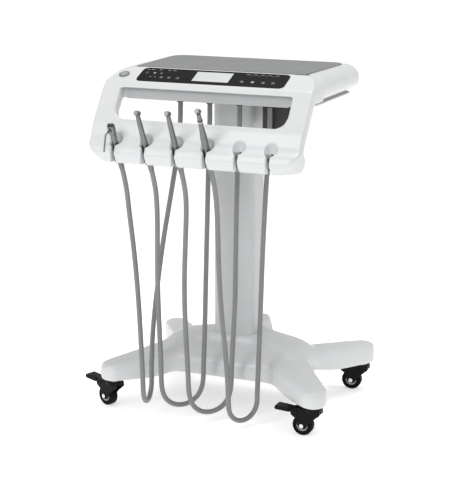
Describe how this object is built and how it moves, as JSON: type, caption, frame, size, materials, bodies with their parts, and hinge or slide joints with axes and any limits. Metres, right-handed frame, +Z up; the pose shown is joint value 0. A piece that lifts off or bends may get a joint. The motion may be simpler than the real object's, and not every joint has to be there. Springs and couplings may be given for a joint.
{
  "type": "mobile dental delivery cart",
  "caption": "Dental delivery cart: castered base, square column, tray head with a leaning instrument rail, hoses hanging in loops, and a keypad panel.",
  "frame": {"origin": "on the floor, below the middle of the cart's box without its hoses", "axes": "+Z up, +Y to the cart's back, +X to the right of a user who faces the instrument rail"},
  "size_m": [0.6458, 0.559, 0.8455],
  "materials": {
    "white_shell": "satin moulded shell",
    "column_paint": "satin powder coat",
    "tray_grey": "fine grain",
    "frame_grey": "satin",
    "dark_steel": "painted steel plate",
    "box_dark": "fine grain",
    "column_metal": "mill finish",
    "zinc_steel": "zinc plated",
    "brass": "nickel-free turned brass",
    "black_plastic": "fine grain",
    "caster_black": "satin moulded nylon",
    "tyre": "matt",
    "chrome": "polished",
    "sleeve_grey": "satin liner",
    "sensor_dark": "smooth lens",
    "panel_black": "membrane film",
    "display_pale": "reflective display",
    "board_green": "circuit board",
    "ring_grey": "satin",
    "button_white": "smooth",
    "hose_grey": "smooth silicone",
    "syringe_metal": "satin",
    "button_dark": "smooth",
    "handpiece_metal": "satin with polished bands",
    "cap_steel": "polished"
  },
  "bodies": {
    "cart": {"ballast_plate": "dark_steel", "base_cover": "white_shell", "base_frame": "dark_steel", "button_ring": "ring_grey", "caster_stems": "zinc_steel", "column_bolts": "zinc_steel", "column_core": "column_metal", "column_cover": "column_paint", "control_board": "board_green", "deck_screws": "zinc_steel", "deck_shell": "white_shell", "display": "display_pale", "frame_back": "frame_grey", "front_frame": "white_shell", "head_plate": "column_paint", "holder_sensors": "sensor_dark", "holder_sleeves": "sleeve_grey", "hose_a": "hose_grey", "hose_b": "hose_grey", "hose_c": "hose_grey", "hose_d": "hose_grey", "hose_outlets": "black_plastic", "inlet_glands": "brass", "panel_film": "panel_black", "rear_inlet_box": "white_shell", "solenoid_valves": "black_plastic", "tray_mat": "tray_grey", "valve_block": "column_metal", "valve_box": "box_dark"},
    "caster_front_right_fork": {"caster_front_right_fork": "caster_black", "caster_front_right_axle": "chrome"},
    "caster_front_right_wheel": {"caster_front_right_wheel": "tyre"},
    "caster_front_right_pedal": {"caster_front_right_pedal": "caster_black"},
    "caster_front_left_fork": {"caster_front_left_fork": "caster_black", "caster_front_left_axle": "chrome"},
    "caster_front_left_wheel": {"caster_front_left_wheel": "tyre"},
    "caster_front_left_pedal": {"caster_front_left_pedal": "caster_black"},
    "caster_rear_right_fork": {"caster_rear_right_fork": "caster_black", "caster_rear_right_axle": "chrome"},
    "caster_rear_right_wheel": {"caster_rear_right_wheel": "tyre"},
    "caster_rear_right_pedal": {"caster_rear_right_pedal": "caster_black"},
    "caster_rear_left_fork": {"caster_rear_left_fork": "caster_black", "caster_rear_left_axle": "chrome"},
    "caster_rear_left_wheel": {"caster_rear_left_wheel": "tyre"},
    "caster_rear_left_pedal": {"caster_rear_left_pedal": "caster_black"},
    "power_button": {"power_button": "button_white"},
    "syringe": {"syringe_body": "syringe_metal", "syringe_connector": "handpiece_metal"},
    "syringe_nozzle": {"syringe_nozzle": "syringe_metal"},
    "syringe_air_button": {"syringe_air_button": "button_dark"},
    "syringe_water_button": {"syringe_water_button": "button_dark"},
    "turbine_a_connector": {"turbine_a_connector": "handpiece_metal"},
    "turbine_a_handpiece": {"turbine_a_handpiece": "handpiece_metal"},
    "turbine_a_cap": {"turbine_a_cap": "cap_steel"},
    "turbine_b_connector": {"turbine_b_connector": "handpiece_metal"},
    "turbine_b_handpiece": {"turbine_b_handpiece": "handpiece_metal"},
    "turbine_b_cap": {"turbine_b_cap": "cap_steel"},
    "contra_motor": {"contra_motor": "handpiece_metal"},
    "contra_angle": {"contra_angle": "handpiece_metal"},
    "contra_cap": {"contra_cap": "cap_steel"}
  },
  "joints": [
    {"name": "caster_front_right_swivel", "type": "hinge", "parent": "cart", "child": "caster_front_right_fork", "pos_m": [0.29292, -0.1145, 0.065], "axis": [0, 0, 1], "continuous": true},
    {"name": "caster_front_right_roll", "type": "hinge", "parent": "caster_front_right_fork", "child": "caster_front_right_wheel", "pos_m": [0.26892, -0.1145, 0.025], "axis": [0, 1, 0], "continuous": true},
    {"name": "caster_front_right_brake", "type": "hinge", "parent": "caster_front_right_fork", "child": "caster_front_right_pedal", "pos_m": [0.25492, -0.1145, 0.058], "axis": [0, -1, 0], "range_deg": [0, 16]},
    {"name": "caster_front_left_swivel", "type": "hinge", "parent": "cart", "child": "caster_front_left_fork", "pos_m": [-0.23108, -0.1145, 0.065], "axis": [0, 0, 1], "continuous": true},
    {"name": "caster_front_left_roll", "type": "hinge", "parent": "caster_front_left_fork", "child": "caster_front_left_wheel", "pos_m": [-0.25363, -0.10629, 0.025], "axis": [0.342, 0.9397, 0], "continuous": true},
    {"name": "caster_front_left_brake", "type": "hinge", "parent": "caster_front_left_fork", "child": "caster_front_left_pedal", "pos_m": [-0.26679, -0.1015, 0.058], "axis": [-0.342, -0.9397, 0], "range_deg": [0, 16]},
    {"name": "caster_rear_right_swivel", "type": "hinge", "parent": "cart", "child": "caster_rear_right_fork", "pos_m": [0.29192, 0.2485, 0.065], "axis": [0, 0, 1], "continuous": true},
    {"name": "caster_rear_right_roll", "type": "hinge", "parent": "caster_rear_right_fork", "child": "caster_rear_right_wheel", "pos_m": [0.26798, 0.24683, 0.025], "axis": [-0.0698, 0.9976, 0], "continuous": true},
    {"name": "caster_rear_right_brake", "type": "hinge", "parent": "caster_rear_right_fork", "child": "caster_rear_right_pedal", "pos_m": [0.25401, 0.24585, 0.058], "axis": [0.0698, -0.9976, 0], "range_deg": [0, 16]},
    {"name": "caster_rear_left_swivel", "type": "hinge", "parent": "cart", "child": "caster_rear_left_fork", "pos_m": [-0.23008, 0.2485, 0.065], "axis": [0, 0, 1], "continuous": true},
    {"name": "caster_rear_left_roll", "type": "hinge", "parent": "caster_rear_left_fork", "child": "caster_rear_left_wheel", "pos_m": [-0.20638, 0.24475, 0.025], "axis": [-0.1564, -0.9877, 0], "continuous": true},
    {"name": "caster_rear_left_brake", "type": "hinge", "parent": "caster_rear_left_fork", "child": "caster_rear_left_pedal", "pos_m": [-0.19255, 0.24256, 0.058], "axis": [0.1564, 0.9877, 0], "range_deg": [0, 16]},
    {"name": "power_button_press", "type": "slide", "parent": "cart", "child": "power_button", "axis": [0, 0.3907, -0.9205], "range_m": [0, 0.0012], "stiffness_N_per_m": 400},
    {"name": "syringe_lift", "type": "slide", "parent": "cart", "child": "syringe", "axis": [0, -0.4384, 0.8988], "range_m": [0, 0.06]},
    {"name": "syringe_nozzle_swivel", "type": "hinge", "parent": "syringe", "child": "syringe_nozzle", "pos_m": [-0.16058, -0.23766, 0.71935], "axis": [0, -0.9781, -0.2079], "continuous": true},
    {"name": "syringe_air_button_press", "type": "slide", "parent": "syringe", "child": "syringe_air_button", "axis": [0, 0.4384, -0.8988], "range_m": [0, 0.0015], "stiffness_N_per_m": 300},
    {"name": "syringe_water_button_press", "type": "slide", "parent": "syringe", "child": "syringe_water_button", "axis": [0, 0.4384, -0.8988], "range_m": [0, 0.0015], "stiffness_N_per_m": 300},
    {"name": "turbine_a_lift", "type": "slide", "parent": "cart", "child": "turbine_a_connector", "axis": [0, -0.4384, 0.8988], "range_m": [0, 0.06]},
    {"name": "turbine_a_turn", "type": "hinge", "parent": "turbine_a_connector", "child": "turbine_a_handpiece", "pos_m": [-0.08398, -0.20785, 0.65823], "axis": [0, -0.4384, 0.8988], "continuous": true},
    {"name": "turbine_a_cap_press", "type": "slide", "parent": "turbine_a_handpiece", "child": "turbine_a_cap", "axis": [0, 0.9703, -0.2419], "range_m": [0, 0.001], "stiffness_N_per_m": 400},
    {"name": "turbine_b_lift", "type": "slide", "parent": "cart", "child": "turbine_b_connector", "axis": [0, -0.4384, 0.8988], "range_m": [0, 0.06]},
    {"name": "turbine_b_turn", "type": "hinge", "parent": "turbine_b_connector", "child": "turbine_b_handpiece", "pos_m": [-0.00738, -0.20785, 0.65823], "axis": [0, -0.4384, 0.8988], "continuous": true},
    {"name": "turbine_b_cap_press", "type": "slide", "parent": "turbine_b_handpiece", "child": "turbine_b_cap", "axis": [0, 0.9703, -0.2419], "range_m": [0, 0.001], "stiffness_N_per_m": 400},
    {"name": "contra_lift", "type": "slide", "parent": "cart", "child": "contra_motor", "axis": [0, -0.4384, 0.8988], "range_m": [0, 0.06]},
    {"name": "contra_angle_turn", "type": "hinge", "parent": "contra_motor", "child": "contra_angle", "pos_m": [0.06922, -0.23678, 0.71755], "axis": [0, -0.4384, 0.8988], "continuous": true},
    {"name": "contra_cap_press", "type": "slide", "parent": "contra_angle", "child": "contra_cap", "axis": [0, 0.9703, -0.2419], "range_m": [0, 0.001], "stiffness_N_per_m": 400}
  ]
}
